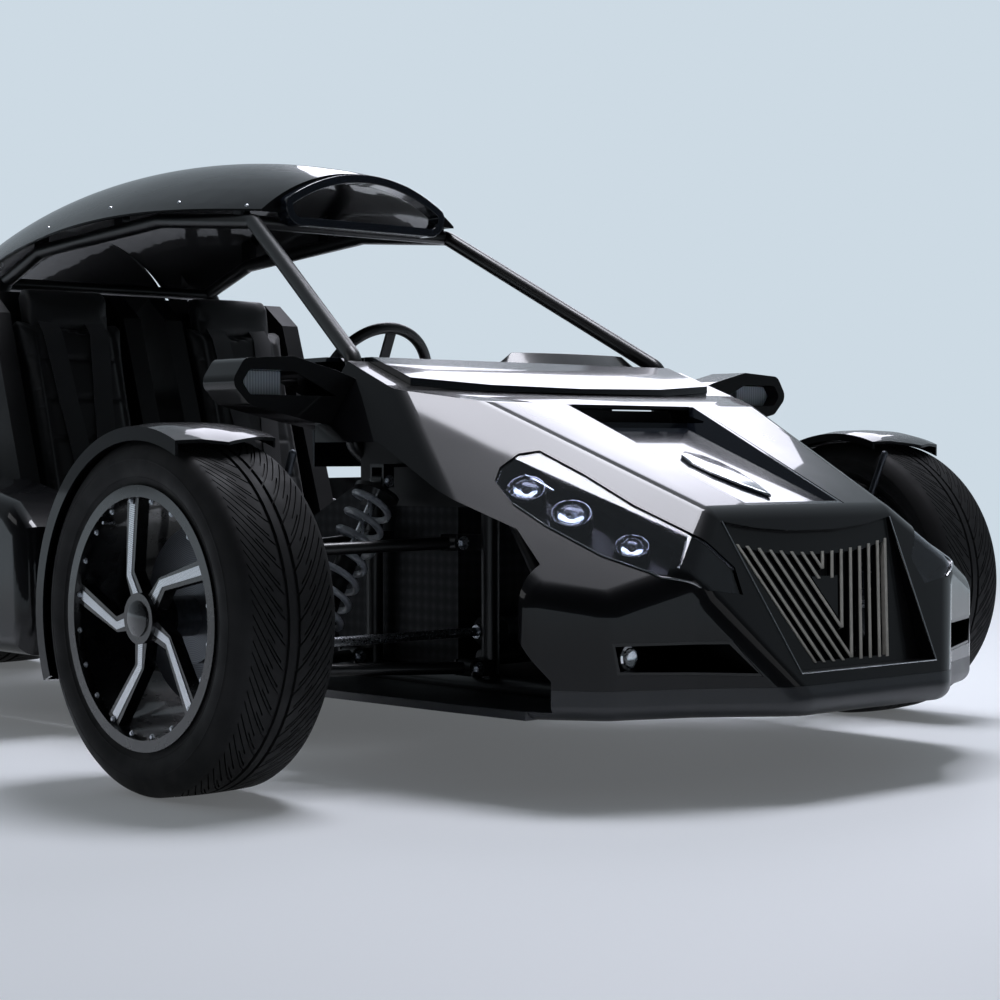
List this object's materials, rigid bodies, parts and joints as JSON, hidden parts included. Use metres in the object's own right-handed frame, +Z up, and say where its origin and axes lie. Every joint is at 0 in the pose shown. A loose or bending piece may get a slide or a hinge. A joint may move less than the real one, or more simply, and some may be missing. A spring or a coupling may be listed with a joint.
{
  "type": "three wheeled car",
  "caption": "Open two-seat three wheeled car: steered front wheels under turning mudguards, wide driven rear wheel, tube frame, pointed nose, domed roof with air scoop.",
  "frame": {"origin": "on the floor under the middle of the car's bounding box", "axes": "+X to the car's left, +Y to its rear, +Z up; the nose faces -Y"},
  "size_m": [1.981, 3.4868, 1.2261],
  "materials": {
    "frame_paint": "satin",
    "suspension_steel": "satin",
    "spring_steel": "gloss",
    "rack_alloy": "satin",
    "rod_steel": "satin",
    "body_paint": "gloss",
    "trim_black": "satin",
    "tray_grey": "gloss",
    "lamp_dark": "gloss",
    "lamp_clear": "gloss",
    "lens_pale": "gloss",
    "lens_red": "gloss",
    "core_alloy": "satin",
    "cowl_grey": "gloss",
    "wheel_leather": "satin",
    "seat_plastic": "satin",
    "seat_fabric": "matte",
    "floor_metal": "matte",
    "engine_metal": "matte",
    "exhaust_steel": "satin",
    "arm_paint": "satin",
    "rim_alloy": "gloss",
    "tyre": "matte",
    "chain_steel": "satin",
    "brake_iron": "satin",
    "upright_alloy": "satin"
  },
  "bodies": {
    "chassis": {"main_rails": "frame_paint", "sill_rails": "frame_paint", "cross_tubes": "frame_paint", "front_frame": "frame_paint", "engine_cradle": "frame_paint", "roll_cage": "frame_paint", "control_arms": "suspension_steel", "coilovers": "spring_steel", "steering_rack": "rack_alloy", "nose_shell": "body_paint", "shoulder_arms": "body_paint", "front_splitter": "trim_black", "hood_channel": "tray_grey", "grille": "trim_black", "headlamps": "lamp_dark", "headlamp_covers": "lamp_clear", "fog_lamps": "trim_black", "shoulder_lamps": "lens_pale", "radiator": "core_alloy", "dash_cowl": "cowl_grey", "instrument_hood": "trim_black", "steering_column": "frame_paint", "seat_shells": "seat_plastic", "seat_cushions": "seat_fabric", "floor_pan": "floor_metal", "roof_shell": "body_paint", "roof_scoop": "body_paint", "engine_cover": "body_paint", "tail_lamps": "lens_red", "side_pods": "body_paint", "engine": "engine_metal", "exhaust": "exhaust_steel", "swingarm": "arm_paint", "rear_shock": "spring_steel", "drive_chain": "chain_steel", "rear_fender": "trim_black"},
    "knuckle_left": {"upright_left": "upright_alloy", "front_fender_left": "body_paint"},
    "knuckle_right": {"upright_right": "upright_alloy", "front_fender_right": "body_paint"},
    "wheel_front_left": {"front_rim_left": "rim_alloy", "front_tyre_left": "tyre", "brake_disc_left": "brake_iron"},
    "wheel_front_right": {"front_rim_right": "rim_alloy", "front_tyre_right": "tyre", "brake_disc_right": "brake_iron"},
    "wheel_rear": {"rear_rim": "rim_alloy", "rear_tyre": "tyre", "rear_sprocket": "chain_steel"},
    "steering_wheel": {"steering_wheel": "wheel_leather"},
    "tie_rods": {"tie_rods": "rod_steel"}
  },
  "joints": [
    {"name": "steer_right", "type": "hinge", "parent": "chassis", "child": "knuckle_right", "pos_m": [-0.79, -0.9996, 0.2955], "axis": [0, 0, 1], "range_deg": [-28, 28]},
    {"name": "steer_left", "type": "hinge", "parent": "chassis", "child": "knuckle_left", "pos_m": [0.79, -0.9996, 0.2955], "axis": [0, 0, 1], "range_deg": [-28.5, 28.5]},
    {"name": "rack_slide", "type": "slide", "parent": "chassis", "child": "tie_rods", "axis": [1, 0, 0], "range_m": [-0.0631, 0.0631]},
    {"name": "steering_wheel_turn", "type": "hinge", "parent": "chassis", "child": "steering_wheel", "pos_m": [0.235, -0.0946, 0.715], "axis": [0, 0.9135, 0.4067], "range_deg": [-228, 228]},
    {"name": "spin_front_left", "type": "hinge", "parent": "knuckle_left", "child": "wheel_front_left", "pos_m": [0.888, -0.9996, 0.2955], "axis": [1, 0, 0], "continuous": true},
    {"name": "spin_front_right", "type": "hinge", "parent": "knuckle_right", "child": "wheel_front_right", "pos_m": [-0.888, -0.9996, 0.2955], "axis": [1, 0, 0], "continuous": true},
    {"name": "spin_rear", "type": "hinge", "parent": "chassis", "child": "wheel_rear", "pos_m": [0, 1.2864, 0.3319], "axis": [1, 0, 0], "continuous": true}
  ],
  "couplings": [
    {"joint": "steer_left", "follows": "steer_right", "ratio": 1},
    {"joint": "rack_slide", "follows": "steer_right", "m_per_rad": 0.125},
    {"joint": "steering_wheel_turn", "follows": "steer_right", "ratio": 8}
  ]
}
